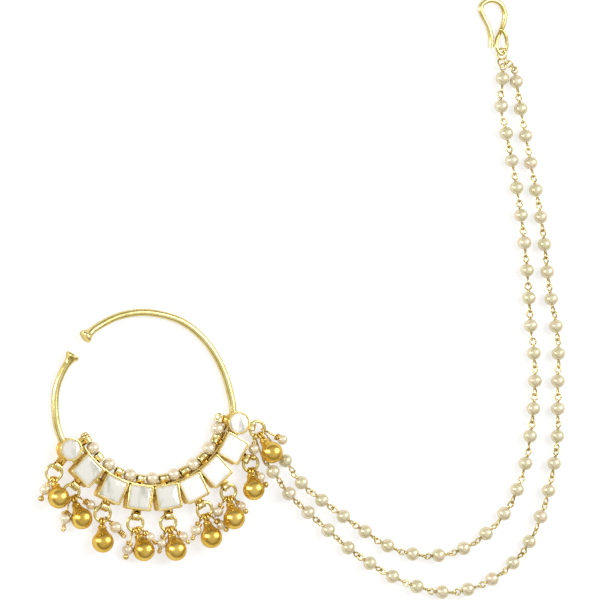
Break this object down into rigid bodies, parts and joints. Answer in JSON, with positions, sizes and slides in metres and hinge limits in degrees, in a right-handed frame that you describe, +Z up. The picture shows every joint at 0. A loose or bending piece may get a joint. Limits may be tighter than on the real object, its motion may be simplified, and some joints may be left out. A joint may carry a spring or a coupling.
{
  "type": "nath nose ring",
  "caption": "Open gold hoop nose ring with foiled stones in deep settings, round bells and pearl drops on its rim, and two strands of linked pearls that run to a hair hook.",
  "frame": {"origin": "middle of the jewel's box, at the surface that it lies on", "axes": "+Z up from the surface, the way that the stones look; +Y from the bells towards the hair hook"},
  "size_m": [0.1274, 0.1384, 0.0064],
  "materials": {
    "pale_gold": "pale gold plate, polished",
    "deep_gold": "deep yellow gold plate, mirror polished",
    "foiled_stone": "cut glass with a silver foil back",
    "cream_pearl": "cream pearl lustre"
  },
  "bodies": {
    "root": {"hoop_frame": "pale_gold", "jump_ring_1": "pale_gold", "jump_ring_2": "pale_gold", "jump_ring_3": "pale_gold", "jump_ring_4": "pale_gold", "jump_ring_5": "pale_gold", "jump_ring_6": "pale_gold", "jump_ring_7": "pale_gold", "jump_ring_8": "pale_gold", "jump_ring_9": "pale_gold", "hook_ring": "pale_gold", "hair_hook": "pale_gold", "bell_1": "deep_gold", "bell_2": "deep_gold", "bell_3": "deep_gold", "bell_4": "deep_gold", "bell_5": "deep_gold", "bell_6": "deep_gold", "bell_7": "deep_gold", "bell_8": "deep_gold", "bell_9": "deep_gold", "stone_1": "foiled_stone", "stone_2": "foiled_stone", "stone_3": "foiled_stone", "stone_4": "foiled_stone", "stone_5": "foiled_stone", "stone_6": "foiled_stone", "stone_7": "foiled_stone", "stone_8": "foiled_stone", "stone_9": "foiled_stone", "inner_pearl_string": "cream_pearl", "pearl_drop_1a": "cream_pearl", "pearl_drop_2a": "cream_pearl", "pearl_drop_2b": "cream_pearl", "pearl_drop_3a": "cream_pearl", "pearl_drop_4a": "cream_pearl", "pearl_drop_4b": "cream_pearl", "pearl_drop_5a": "cream_pearl", "pearl_drop_5b": "cream_pearl", "pearl_drop_6a": "cream_pearl", "pearl_drop_6b": "cream_pearl", "pearl_drop_7a": "cream_pearl", "pearl_drop_7b": "cream_pearl", "pearl_drop_8a": "cream_pearl", "pearl_drop_9a": "cream_pearl", "pearl_drop_9b": "cream_pearl", "chain_strand_inner": "cream_pearl", "chain_strand_outer": "cream_pearl"}
  },
  "joints": []
}
